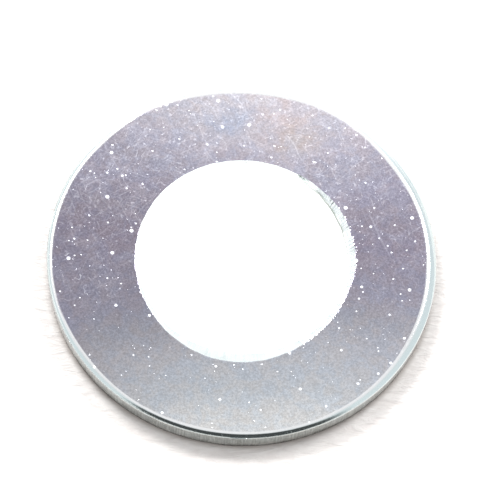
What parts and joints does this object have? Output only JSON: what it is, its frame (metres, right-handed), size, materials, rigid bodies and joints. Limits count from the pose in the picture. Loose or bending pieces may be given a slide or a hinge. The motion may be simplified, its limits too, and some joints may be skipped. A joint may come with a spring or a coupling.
{
  "type": "flat washer",
  "caption": "Thin zinc-plated flat washer, stamped, with a rolled outer rim on one face and a bore that breaks out through it.",
  "frame": {"origin": "on the bore's axis, at the lower face that the washer lies on", "axes": "+Z along the bore, from the lower face to the face with the rolled outer rim; +X towards the wide side of the bore's break-out"},
  "size_m": [0.024, 0.024, 0.0016],
  "materials": {
    "zinc_plate": "bright zinc electroplate under a thin clear chromate film, finely grained, lightly scratched and pitted"
  },
  "bodies": {
    "root": {"washer": "zinc_plate"}
  },
  "joints": []
}
